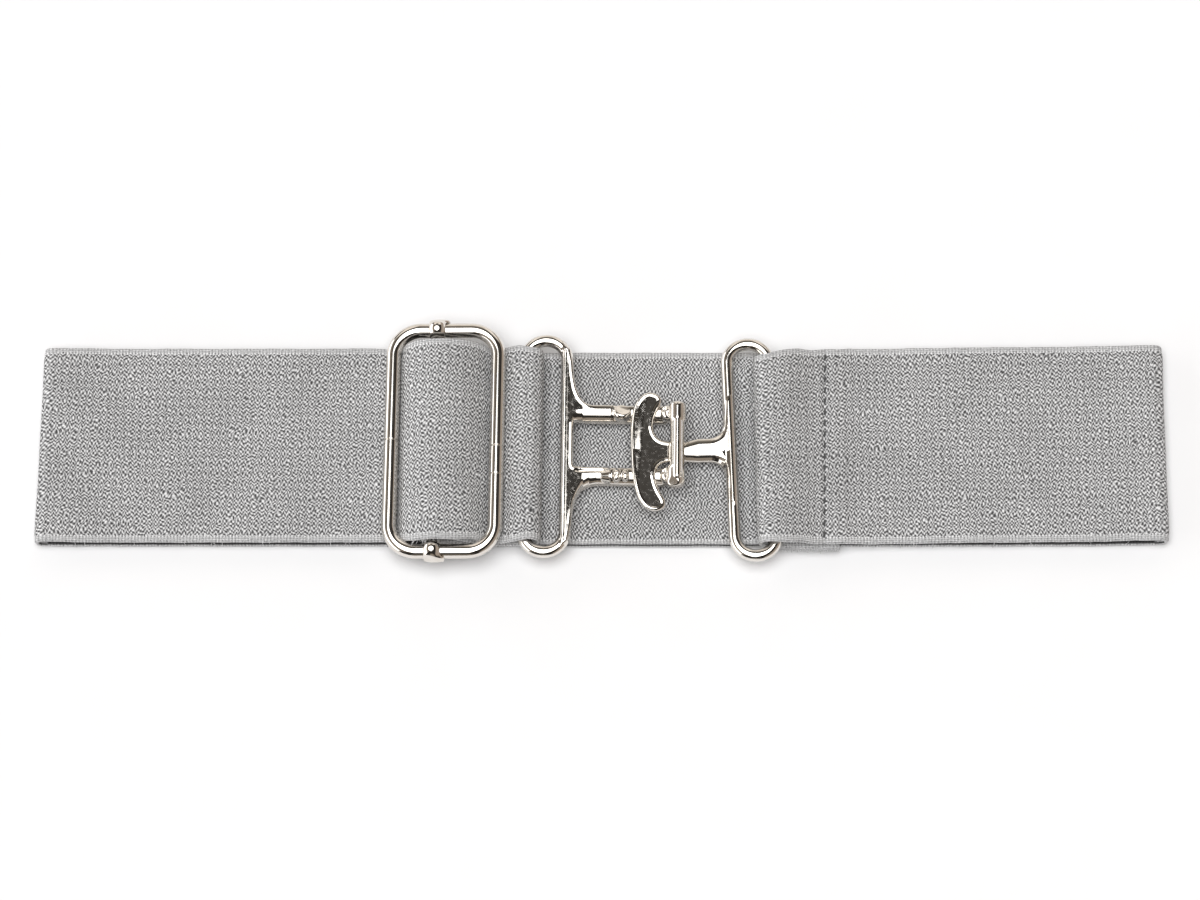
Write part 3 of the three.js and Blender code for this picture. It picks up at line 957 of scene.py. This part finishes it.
ARM_INSIDE = (KEEPER.arm_pitch - KEEPER.arm_width) / 2
ARM_OUTSIDE = ARM_INSIDE + KEEPER.arm_width
ARM_MIDDLE = KEEPER.arm_pitch / 2
ARM_SHIFT = 0.4
WINDOW_HALF = ARM_INSIDE - ARM_SHIFT
WINDOW_LEFT = LOOP_BAR + LOOP.wire + 0.3
ROOT_HALF = HOOK.root_width / 2
NECK_HALF = HOOK.neck_width / 2

ARMS = [
    (LOOP_BAR - 1.1, ARM_OUTSIDE + 16.5, 0.0),
    (LOOP_BAR + 0.7, ARM_OUTSIDE + 15.0, 0.0),
    (LOOP_BAR + 1.5, ARM_OUTSIDE + 11.0, 0.0),
    (LOOP_BAR + 3.2, ARM_OUTSIDE + 2.6, 0.2, (LOOP_BAR + 1.8, ARM_OUTSIDE + 5.4)),
    (LOOP_BAR + 7.4, ARM_OUTSIDE + ARM_SHIFT, ARM_SHIFT, (LOOP_BAR + 4.6, ARM_OUTSIDE + ARM_SHIFT)),
    (KEEPER.arm_tip, ARM_OUTSIDE + ARM_SHIFT, ARM_SHIFT),
    (KEEPER.arm_tip, 0.0, ARM_SHIFT),
]
WINDOW = [
    (KEEPER.arm_tip + 2, WINDOW_HALF, ARM_SHIFT),
    (WINDOW_LEFT + KEEPER.window_corner, WINDOW_HALF, ARM_SHIFT),
    (WINDOW_LEFT, WINDOW_HALF - KEEPER.window_corner, ARM_SHIFT, (WINDOW_LEFT, WINDOW_HALF)),
    (WINDOW_LEFT, 0.0, ARM_SHIFT),
]
CRESCENT = [
    (-17.4, 2.5, 0.0),
    (-20.3, 2.7, 0.0),
    (-23.7, 6.3, 0.0, (-23.4, 2.7)),
    (-22.0, 11.4, 0.0, (-23.4, 9.2)),
    (-22.8, 15.0, 0.0, (-20.5, 14.1)),
    (-28.0, 12.2, 0.0, (-25.8, 16.2)),
    (-29.4, 0.0, 0.0, (-29.4, 8.6)),
]
NECK = [
    (-LOOP_BAR + 0.4, ROOT_HALF + 11.0, -0.5),
    (-LOOP_BAR - 0.8, ROOT_HALF + 9.5, -0.5),
    (-LOOP_BAR - 1.5, ROOT_HALF + 4.5, -0.2),
    (-LOOP_BAR - 4.8, ROOT_HALF, 0.0, (-LOOP_BAR - 1.7, ROOT_HALF + 0.4)),
    (-LOOP_BAR - 8.0, ROOT_HALF, 0.0),
    (-LOOP_BAR - 13.4, NECK_HALF, HOOK.plate_y),
    (HOOK.neck_end, NECK_HALF, HOOK.plate_y),
    (HOOK.neck_end, 0.0, HOOK.plate_y),
]

# Side profiles: x with the heights of the underside or the top
ARM_UNDER = [(3.6, -1.1), (8.0, -1.6), (12.0, -2.2), (28.0, -2.2), (30.2, -0.6), (34.0, -0.4)]
ARM_ROOT = [(3.6, 1.3), (5.9, 1.25), (9.0, 0.85)]
ARM_SEAT = [(17.5, 0.4), (28.5, 0.4), (30.5, 2.6), (34.0, 2.6)]
FAR_ARM_TOP = [*ARM_ROOT, (15.9, 0.85), *ARM_SEAT]
NEAR_ARM_TOP = [*ARM_ROOT, (14.0, 0.85), (15.0, 0.6), *ARM_SEAT]
NECK_UNDER = [(-24.0, 0.7), (-22.9, 0.7), (-20.6, -0.9), (-4.4, -0.9)]
NECK_TOP = [(-25.0, 1.3), (-19.5, 0.7), (-17.0, 1.1), (-10.0, 1.1), (-6.6, 1.26), (-4.9, 1.29)]
ARM_FLARE = [(5.0, 12.0), (7.0, 5.0), (8.3, 2.6), (9.3, 1.2), (10.8, 0.3), (12.5, 0.0)]
PLATE_EDGE = 0.5
# The tops are domed to a radius, from a line this far from the far edge, and fall off steeply at the
# end of the dome
DOME = Values(
    radius=2.8, reach=1.98, fall=1.2, far_arm=1.2, near_arm=1.0, neck_far=1.8, neck_near=2.9,
)
WEB_RIM = Values(start=0.55, end=1.2, height=0.1)
CRESCENT_TOP = Values(
    edge=0.65, tilt=0.155, crown=5.5, far_shoulder=2.9, near_shoulder=1.0,
    start=0.62, end=1.2, left=0.17, right=0.1,
)

# Height over the rod's middle line, radius, near and far end, and how round the ends are
CROSS_ROD = [
    (0.0, 1.72, -9.0, 8.0, 0.8),
    (0.98, 1.02, -9.7, 9.9, 0.9),
    (-0.1, 2.05, 5.1, 10.4, 0.55),
]
# The elbow's x and z, and then as above. Its flat is a plane through a point, with a normal.
ELBOW = (31.7, 2.4, 2.25, -11.2, -5.4, 0.7)
ELBOW_FLAT = ((31.0, -9.9, 4.1), (-0.5, -0.75, 1.0))

# Cast details as balls: the centre, with its y from the arm's middle, and the three radii
LUG = ((29.9, 0.2, 1.2), (2.0, 2.1, 2.0))
LUG_HOLLOWS = [((28.6, 0.9, 2.9), (0.85, 0.85, 0.85)), ((30.3, -0.7, 3.2), (0.7, 0.7, 0.7))]
SEAT = ((18.5, 0.6, -0.2), (2.3, 2.1, 2.1))
KNOB = ((17.4, 0.35, 0.3), (1.1, 1.6, 1.25))
DIMPLE = ((17.4, 0.35, 1.6), (0.34, 0.34, 0.34))
SMALL_KNOB = ((19.5, 0.4, 0.1), (0.9, 1.4, 1.1))


def heights(x, table):
    """The heights of a side profile at x."""
    places, values = zip(*table)
    return np.interp(np.asarray(x).ravel(), places, values).reshape(np.shape(x))


def domed(away):
    """How far a domed top has fallen at a distance from its ridge."""
    near = np.clip(np.abs(away), 0, DOME.reach)
    fall = DOME.radius - np.sqrt(DOME.radius ** 2 - near ** 2)
    return fall + DOME.fall * np.clip(np.abs(away) - DOME.reach, 0, 1.5)


def clasp_loop(x, y, z):
    """The long loop of round wire that each half has, with half circles for ends."""
    past = np.maximum(np.abs(y) - (LOOP.length / 2 - LOOP.wire - LOOP_BAR), 0)
    return np.hypot(np.hypot(x, past) - LOOP_BAR, z) - LOOP.wire


def lugs(x, y, z, body):
    """The hollowed lugs that hold the cross rod, and the rod's thick elbow with its flat."""
    for arm in (ARM_MIDDLE, -ARM_MIDDLE):
        lug = ball(x, y, z, arm, *LUG)
        for hollow in LUG_HOLLOWS:
            lug = shared(lug, -ball(x, y, z, arm, *hollow), 0.15)
        body = joined(body, lug, 0.2)
    elbow = shared(rod_across(x, y, z, *ELBOW), slant(x, y, z, *ELBOW_FLAT), 0.2)
    return joined(body, elbow, 0.15)


def arm_ends(x, y, z, body):
    """The worked ends of the two arms: a slanted oval seat, and a collar with two knobs."""
    far, near = ARM_MIDDLE, -ARM_MIDDLE
    seat_top = slant(x, y, z, (18.5, far + 0.5, 1.2), (0.12, 0.4, 1.0))
    seat = shared(ball(x, y, z, far, *SEAT), seat_top, 0.25)
    groove = rounded_box(np.abs(x - 16.15) - 0.16 + 0 * y, 0.75 - z, 0.05)
    body = shared(body, -groove, 0.15)
    body = joined(body, seat, 0.2)
    flare = np.hypot(y - near - 0.3, z + 0.1) - np.interp(x, (13.4, 15.7), (1.2, 1.95))
    collar = shared(flare, np.abs(x - 14.7) - 1.15, 0.25)
    knob = shared(ball(x, y, z, near, *KNOB), -ball(x, y, z, near, *DIMPLE), 0.15)
    for shape in (collar, knob, ball(x, y, z, near, *SMALL_KNOB)):
        body = joined(body, shape, 0.18)
    return body


def keeper_field():
    arms_outline = bent_outline(ARMS)
    window_outline = bent_outline(WINDOW)

    def field(x, y, z):
        flat = shared(outline_distance(x, y, arms_outline), -outline_distance(x, y, window_outline), 0.1)
        far, near = heights(x, FAR_ARM_TOP), heights(x, NEAR_ARM_TOP)
        groove = 0.34 * np.exp(-((y + ARM_MIDDLE - 1.35) / 0.32) ** 2)
        groove = groove * ramp(x - 7.0, 1.2) * ramp(15 - x, 1)
        off = y - np.where(y > 0, ARM_MIDDLE + DOME.far_arm, DOME.near_arm - ARM_MIDDLE)
        flared = np.maximum(np.abs(off) - heights(x, ARM_FLARE), 0)
        dome = domed(np.where(off * y > 0, flared, off)) * ramp(x - 6.5, 2.5)
        rim = raised(flat, WEB_RIM.start, WEB_RIM.end, WEB_RIM.height)
        rim = rim * ramp(10.2 - x, 1.6)
        high = np.where(y > 0, far, near - groove) + rim + 0.25 - dome
        arms = plate(flat, z, heights(x, ARM_UNDER), high, PLATE_EDGE)
        body = joined(clasp_loop(x, y, z), arms, 0.35)
        body = lugs(x, y, z, arm_ends(x, y, z, body))
        for up, *rod in CROSS_ROD:
            shape = rod_across(x, y, z, KEEPER.rod_x, KEEPER.rod_z + up, *rod)
            body = joined(body, shape, 0.2)
        return body

    return field


def hook_field():
    crescent_outline = bent_outline(CRESCENT, HOOK.plate_y)
    neck_outline = bent_outline(NECK)
    top = CRESCENT_TOP

    def field(x, y, z):
        shoulder = np.interp(y, (-9.0, 0.0), (top.near_shoulder, top.far_shoulder))
        back = -29.3 + 1.5 * ((y - HOOK.plate_y) / 12.5) ** 2 + shoulder
        crown = np.maximum(back - x, 0) ** 2 / (2 * top.crown)
        flat = outline_distance(x, y, crescent_outline)
        rim_height = np.where(x < back - 0.8, top.left, top.right)
        rim = raised(flat, top.start, top.end, rim_height)
        high = HOOK.plate_high - top.tilt * (x + 29.3) - crown + rim
        crescent = plate(flat, z, HOOK.plate_low, high, top.edge)
        flat = outline_distance(x, y, neck_outline)
        side = np.clip(0.5 + (y - HOOK.plate_y) / 0.4, 0, 1)
        reach = DOME.neck_near + (DOME.neck_far - DOME.neck_near) * side
        fall = domed(np.maximum(flat + reach, 0)) * ramp(x + 18.5, 1.5) * ramp(-5.3 - x, 1.3)
        high = heights(x, NECK_TOP) + 0.2 - fall
        neck = plate(flat, z, heights(x, NECK_UNDER), high, PLATE_EDGE)
        body = joined(clasp_loop(x, y, z), neck, 0.5)
        return joined(body, crescent, 0.6)

    return field


# Stage: floor, studio light and camera

# The studio, by the direction that it is seen in: x is the angle from straight up towards +X, and
# y the angle out of that plane towards +Y, in degrees
OCTABOX = Values(x=-6.0, y=-8.0, radius=29.0, soft=2.5, light=(4.3, 4.3, 4.3))
# x from and to, y from and to, how soft the edges are, and the light's colour
SOFTBOXES = [
    (-92, -64, -45, 45, 3, (2.4, 2.4, 2.4)),
    (-62, -40, -46, 56, 5, (0.32, 0.28, 0.24)),
    (-40, -20, -46, 40, 4, (0.15, 0.13, 0.11)),
    (-16, 5, -46, -24, 3, (1.3, 1.3, 1.3)),
    (54, 94, -60, 60, 6, (0.42, 0.36, 0.31)),
    (14, 32, 8, 34, 5, (0.07, 0.066, 0.062)),
    (-12, 12, 30, 48, 4, (0.13, 0.12, 0.1)),
    (-60, 60, 48, 64, 4, (0.36, 0.32, 0.28)),
    (-60, -16, 42, 70, 6, (1.05, 0.98, 0.9)),
    (16, 60, 42, 70, 6, (1.05, 0.98, 0.9)),
    (-85, 85, 62, 92, 4, (0.9, 0.84, 0.77)),
    (-60, 60, -92, -72, 3, (0.3, 0.26, 0.22)),
]
ROOM = (0.03, 0.027, 0.024)


def make_world():
    """A studio seen in reflections: soft boxes overhead, with dark gaps between them."""
    world = bpy.data.worlds.new("studio")
    world.use_nodes = True
    scene.world = world
    nodes = Nodes(world.node_tree)
    direction = nodes.add("TexCoord").outputs["Generated"]
    x, y, z = nodes.split(direction)
    side = nodes.maths("DEGREES", nodes.maths("ARCTAN2", x, z))
    far = nodes.maths("DEGREES", nodes.maths("ARCSINE", y))
    light = ROOM
    for left, right, near_end, far_end, soft, colour in SOFTBOXES:
        mask = 1.0
        for angle, low, high in ((side, left, right), (far, near_end, far_end)):
            rise = nodes.smooth(angle, low - soft, low + soft)
            fall = nodes.smooth(angle, high - soft, high + soft, 1.0, 0.0)
            mask = nodes.times(nodes.times(rise, fall), mask)
        light = nodes.vector("MAXIMUM", nodes.scaled(colour, mask), light)
    tilt_x, tilt_y = math.radians(OCTABOX.x), math.radians(OCTABOX.y)
    toward = (
        math.sin(tilt_x) * math.cos(tilt_y), math.sin(tilt_y), math.cos(tilt_x) * math.cos(tilt_y)
    )
    close = nodes.vector("DOT_PRODUCT", direction, toward, output="Value")
    outer, inner = (
        math.cos(math.radians(OCTABOX.radius + soft)) for soft in (OCTABOX.soft, -OCTABOX.soft)
    )
    glow = nodes.scaled(OCTABOX.light, nodes.smooth(close, outer, inner))
    light = nodes.vector("MAXIMUM", glow, light)
    background = nodes.made("Background", light)
    nodes.fill(nodes.add("OutputWorld"), Surface=background)


def make_floor():
    material, nodes, shader = new_material("pale_floor")
    place = nodes.add("TexCoord").outputs["Object"]
    colour = nodes.mix(nodes.noise(place, 40.0), grey(0.79), grey(0.81))
    nodes.fill(shader, Base_Color=colour, Roughness=0.9, Specular_IOR_Level=0.1)
    reach = 6000.0
    corners = np.array([(-1, -1, 0), (1, -1, 0), (1, 1, 0), (-1, 1, 0)]) * reach
    floor = mesh_object("floor", corners, [[0, 1, 2, 3]], material, smooth=False)


CAMERA = Values(
    tilt=20.0, distance=1078.6, aim=(-0.487, -0.207, 0.0),
    pixels_per_mm=4.108, width_px=1200, sensor=36.0,
)


def make_camera():
    """The photograph's view: nearly straight down, tilted towards the viewer."""
    camera = bpy.data.objects.new("camera", bpy.data.cameras.new("camera"))
    scene.collection.objects.link(camera)
    scene.camera = camera
    tilt = math.radians(CAMERA.tilt)
    back = np.array([0.0, -math.sin(tilt), math.cos(tilt)])
    camera.location = (np.array(CAMERA.aim) + CAMERA.distance * back) * MM
    camera.rotation_euler = (tilt, 0.0, 0.0)
    camera.data.sensor_width = CAMERA.sensor
    camera.data.lens = CAMERA.sensor * CAMERA.pixels_per_mm * CAMERA.distance / CAMERA.width_px
    camera.data.clip_start = 0.05
    camera.data.clip_end = 20.0


# Making

make_camera()
make_floor()
make_world()
scene.view_settings.view_transform = "Standard"

elastic = elastic_material()
wire_nickel = nickel_material("wire_nickel", 0.055, 0.06, 2.2)
cast_nickel = nickel_material("cast_nickel", 0.07, 0.14, 3.2)

webbing, stations = make_webbing(elastic)
stitches = make_stitches(thread_material("seam_thread", 0.06))
frays = make_frays(thread_material("loose_fibre", 0.5))
slide_frame = make_slide_frame(wire_nickel)
bar_reach = SLIDE.height / 2 + 2.2
slide_bar = cast_piece(
    "slide_centre_bar", slide_bar_field, (-5.2, -bar_reach, -4.0), (2.4, bar_reach, 4.0), 0.13,
    SLIDE, wire_nickel,
)
loop_reach = LOOP.length / 2 + 0.6
keeper = cast_piece(
    "clasp_keeper_cast", keeper_field(), (-7.3, -loop_reach, -2.5), (35.2, loop_reach, 6.0), 0.2,
    KEEPER, cast_nickel,
)
hook = cast_piece(
    "clasp_hook_cast", hook_field(), (-30.2, -loop_reach, -2.2), (7.3, loop_reach, 3.6), 0.2,
    HOOK, cast_nickel,
)

PIECES = [
    (webbing, "elastic_webbing", "grey_elastic"),
    (slide_frame, "slide_frame", "nickel_wire"),
    (slide_bar, "slide_bar", "nickel_wire"),
    (keeper, "clasp_keeper", "nickel_cast"),
    (hook, "clasp_hook", "nickel_cast"),
]
for piece, node, slot in PIECES:
    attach(piece, "root")
    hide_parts(node)

for piece in (stitches, frays):
    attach(piece, "root")
